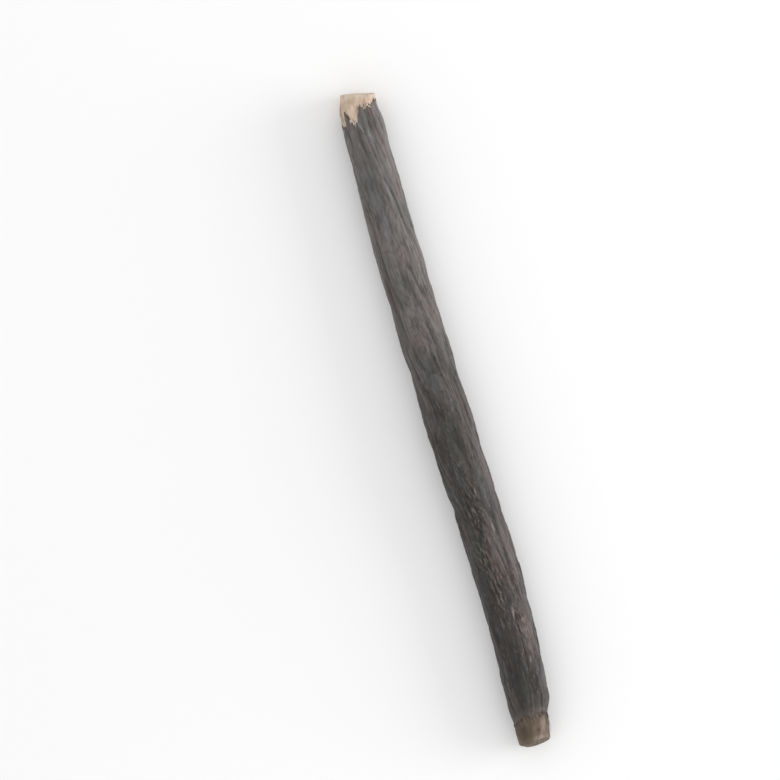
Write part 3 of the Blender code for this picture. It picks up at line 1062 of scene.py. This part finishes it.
def bark_material():
    """Dull umber skin: streaks along the grain, painted shade in the furrows, ash-grey crests and rubbed
    slivers.
    """
    paint = Painter("bark", 0.84, 0.25)
    grain = paint.fact("grain", "Vector")
    crest = paint.fact("crest")
    along = paint.fact("along")
    streaks, fibres, blotches, browns, strokes, chinks, flecks, grit = [
        paint.noise(grain, *shape) for shape in BARK_NOISES.values()
    ]
    # Painted light: the colours turn paler towards the head, partly weathering and partly brighter light
    # there.
    headward_lit_and_weathered = paint.spread(along, 0.42, 0.74)

    tone = paint.times(streaks, 0.55)
    tone = paint.math("ADD", tone, paint.times(fibres, 0.31))
    tone = paint.math("ADD", tone, paint.times(paint.fact("shade"), 0.05))
    tone = paint.math("ADD", tone, paint.times(crest, 0.09))
    paint.colour = paint.mix(headward_lit_and_weathered, *[paint.ramp(tone, stops) for stops in BARK_TONES])
    brown = paint.mix(headward_lit_and_weathered, *BROWN)
    paint.over(paint.spread(browns, 0.48, 0.66, 0.0, 0.55), brown)
    grey = paint.mix(headward_lit_and_weathered, *GREY)
    paint.over(paint.spread(blotches, 0.46, 0.64, 0.0, 0.6), grey)
    # Painted shade: darker where the wrinkles dip into furrows.
    paint.over(paint.spread(crest, 0.1, 0.42, 0.42, 0.0), FURROW_SHADE)
    paint.over(paint.times(paint.fact("gap"), 0.28), SCALE_EDGE)
    broken = paint.spread(streaks, 0.3, 0.6, 0.45, 1.0)
    lit = paint.spread(strokes, 0.57, 0.7)
    lit = paint.times(lit, paint.spread(along, 0.3, 0.8, 0.38, 0.12))
    paint.over(lit, STROKE)
    dim = paint.spread(chinks, 0.32, 0.44, 1.0, 0.0)
    dim = paint.times(dim, paint.spread(along, 0.3, 0.8, 0.5, 0.2))
    paint.over(dim, CHINK)
    pale = paint.times(paint.fact("pale"), paint.spread(fibres, 0.34, 0.56, 0.2, 0.75))
    paint.over(pale, RUBBED)
    paint.over(paint.times(paint.fact("split_shade"), 0.6), SPLIT_DARK)
    paint.over(paint.times(paint.fact("split"), 0.8), SPLIT_PALE)
    frayed = paint.math("ADD", paint.fact("torn"), paint.times(streaks, 0.9))
    edge = paint.mix(headward_lit_and_weathered, *TORN)
    paint.over(paint.spread(frayed, 0.75, 1.45, 0.0, 0.8), edge)
    for kind, (at_foot, at_head, most) in BARK_TINTS.items():
        shown = paint.times(paint.fact(kind), paint.times(broken, most))
        paint.over(shown, paint.mix(headward_lit_and_weathered, at_foot, at_head))
    flecked = paint.fact("flecked")
    dark_flecks = paint.times(flecked, paint.spread(flecks, 0.36, 0.49, 0.8, 0.0))
    paint.over(dark_flecks, DARK_FLECK)
    tan_flecks = paint.times(flecked, paint.spread(flecks, 0.54, 0.64, 0.0, 0.72))
    paint.over(tan_flecks, TAN_FLECK)
    # Painted shade under the torn edge, together with the inner bark's own brown.
    paint.over(paint.spread(paint.fact("inner_and_shade"), 0.1, 0.9, 0.0, 0.85), INNER_BARK_AND_SHADE)

    normal = paint.bump(fibres, 0.00012, 0.5)
    normal = paint.bump(grit, 0.00006, 0.4, {"Normal": normal})
    dull = paint.spread(streaks, 0.3, 0.7, 0.92, 0.74)
    paint.fill(paint.shader, {"Roughness": dull, "Sheen Weight": 0.12})
    return paint.finish(paint.colour, normal)


def wood_material(end):
    """Dry fibrous wood: fine streaks along the fibre, pores and a darker ring on the cut face."""
    paint = Painter(end.name + "_wood", 0.8, 0.22)
    # The foot's colours are darker partly by the wood's own colour and partly by painted shade.
    which = 1 if end.side > 0 else 0
    colours = {name: pair[which] for name, pair in WOOD_COLOURS.items()}
    grain = paint.fact("grain", "Vector")
    streaks, fibres, patches, pores = [paint.noise(grain, *shape) for shape in WOOD_NOISES.values()]
    tone = paint.math("ADD", paint.times(streaks, 0.62), paint.times(fibres, 0.38))
    paint.colour = paint.ramp(tone, WOOD_TONES[which])
    paint.over(paint.spread(patches, 0.5, 0.66, 0.0, 0.5), colours["pink"])
    paint.over(paint.spread(patches, 0.46, 0.32, 0.0, 0.4), colours["olive"])
    broken = paint.spread(streaks, 0.32, 0.56, 0.45, 1.0)
    lighter = paint.times(paint.fact("rim"), paint.spread(streaks, 0.3, 0.55, 0.35, 0.85))
    paint.over(lighter, colours["face"])
    paint.over(paint.times(paint.fact("face"), 0.55), colours["face"])
    for kind, most in WOOD_TINTS.items():
        shown = paint.times(paint.fact(kind), paint.times(broken, most))
        paint.over(shown, colours[kind])
    share = paint.fact("share")
    ring = paint.times(paint.spread(share, 0.72, 0.84), paint.spread(share, 0.94, 0.86))
    ring = paint.times(ring, paint.fact("face"))
    paint.over(paint.times(ring, 0.4), colours["dark"])
    paint.over(paint.spread(pores, 0.62, 0.74, 0.0, 0.4), colours["dark"])
    near = paint.times(paint.fact("near_bark"), paint.spread(streaks, 0.36, 0.6, 0.25, 0.85))
    paint.over(near, colours["beside_bark"])
    opened = paint.spread(paint.fact("crack"), 0.1, 0.6, 0.0, end.crack_shadow)
    paint.over(opened, IN_THE_CRACK)
    normal = paint.bump(fibres, 0.0001, 0.5)
    normal = paint.bump(pores, 0.00005, 0.4, {"Normal": normal})
    return paint.finish(paint.colour, normal)


def splinter_material(name, dark, pale):
    """Loose bits: one dark and one pale colour, streaked along the grain."""
    paint = Painter(name, 0.85, 0.2)
    streaks = paint.noise(paint.fact("grain", "Vector"), *SPLINTER_NOISE)
    return paint.finish(paint.mix(streaks, dark, pale), paint.bump(streaks, 0.00004, 0.3))


def floor_material():
    paint = Painter("pale_floor", 0.9, 0.2)
    cloudy = paint.noise(paint.fact("position", "Vector"), *FLOOR_NOISE)
    colour = paint.ramp(cloudy, ((0.3, (0.9, 0.9, 0.9)), (0.7, (0.92, 0.92, 0.92))))
    return paint.finish(colour, paint.bump(cloudy, 0.00001, 0.1))


FLOOR_HALF = 3.0
FLOOR_DROP = 0.00002


def build_floor():
    corners = ((-1, -1), (1, -1), (1, 1), (-1, 1))
    mesh = bpy.data.meshes.new("floor")
    mesh.from_pydata([(x * FLOOR_HALF, y * FLOOR_HALF, -FLOOR_DROP) for x, y in corners], [], [(0, 1, 2, 3)])
    floor = add_object("floor", mesh)
    floor.data.materials.append(floor_material())


# The camera looks straight down. The picture's axes are turned by this much from the stick's, and
# its middle is off to one side of the stick.
PICTURE_TURN = math.radians(15.0)
PICTURE_MIDDLE = Vector((0.00965, 0.01149, 0.005))
PICTURE_RIGHT = Vector((-math.sin(PICTURE_TURN), -math.cos(PICTURE_TURN), 0.0))
PICTURE_UP = Vector((math.cos(PICTURE_TURN), -math.sin(PICTURE_TURN), 0.0))
CAMERA_HEIGHT = 0.984
CAMERA_NEAREST = 0.01
LENS_MM = 200.0
SENSOR_MM = 36.0

# Even light from all round, and one square lamp placed by the picture's right, up and height.
ROOM_LIGHT = 0.96
LAMP_PLACE = PICTURE_RIGHT * 0.9 + PICTURE_UP * 0.12 + Vector((0.0, 0.0, 0.2))
LAMP_SIZE = 0.6
LAMP_WATTS = 6.2


def build_camera():
    data = bpy.data.cameras.new("camera")
    data.lens = LENS_MM
    data.sensor_width = SENSOR_MM
    data.clip_start = CAMERA_NEAREST
    camera = add_object("camera", data)
    straight_down = Matrix((PICTURE_RIGHT, PICTURE_UP, Vector((0.0, 0.0, 1.0)))).transposed().to_4x4()
    eye = PICTURE_MIDDLE + Vector((0.0, 0.0, CAMERA_HEIGHT))
    camera.matrix_world = Matrix.Translation(eye) @ straight_down
    bpy.context.scene.camera = camera


def build_light():
    world = bpy.data.worlds.new("studio")
    world.use_nodes = True
    inputs = world.node_tree.nodes["Background"].inputs
    inputs["Color"].default_value = (1.0, 1.0, 1.0, 1.0)
    inputs["Strength"].default_value = ROOM_LIGHT
    bpy.context.scene.world = world
    data = bpy.data.lights.new("side", "AREA")
    data.size = LAMP_SIZE
    data.energy = LAMP_WATTS
    lamp = add_object("side", data)
    lamp.location = LAMP_PLACE
    lamp.rotation_euler = (-LAMP_PLACE).to_track_quat("-Z", "Y").to_euler()
    bpy.context.scene.view_settings.view_transform = "Standard"


build_camera()
build_light()
build_floor()
bark_skin = bark_material()
head_grain = wood_material(HEAD)
foot_grain = wood_material(FOOT)
build_bark(bark_skin)
build_wood(HEAD, head_grain)
build_wood(FOOT, foot_grain)
pale_fibre = splinter_material("pale_fibre", (0.6, 0.49, 0.4), (0.84, 0.75, 0.65))
brown_fibre = splinter_material("brown_fibre", (0.1, 0.075, 0.055), (0.24, 0.19, 0.15))
bark_shred = splinter_material("bark_shred", (0.045, 0.03, 0.024), (0.12, 0.095, 0.082))
build_fringe(pale_fibre)
build_splinters(HEAD, "head_fibres", pale_fibre, STRANDS, 7, strand)
build_splinters(FOOT, "foot_fibres", brown_fibre, STRANDS, 19, strand)
build_splinters(HEAD, "head_shreds", bark_shred, SHREDS, 23, shred)
build_splinters(FOOT, "foot_shreds", bark_shred, SHREDS, 31, shred)
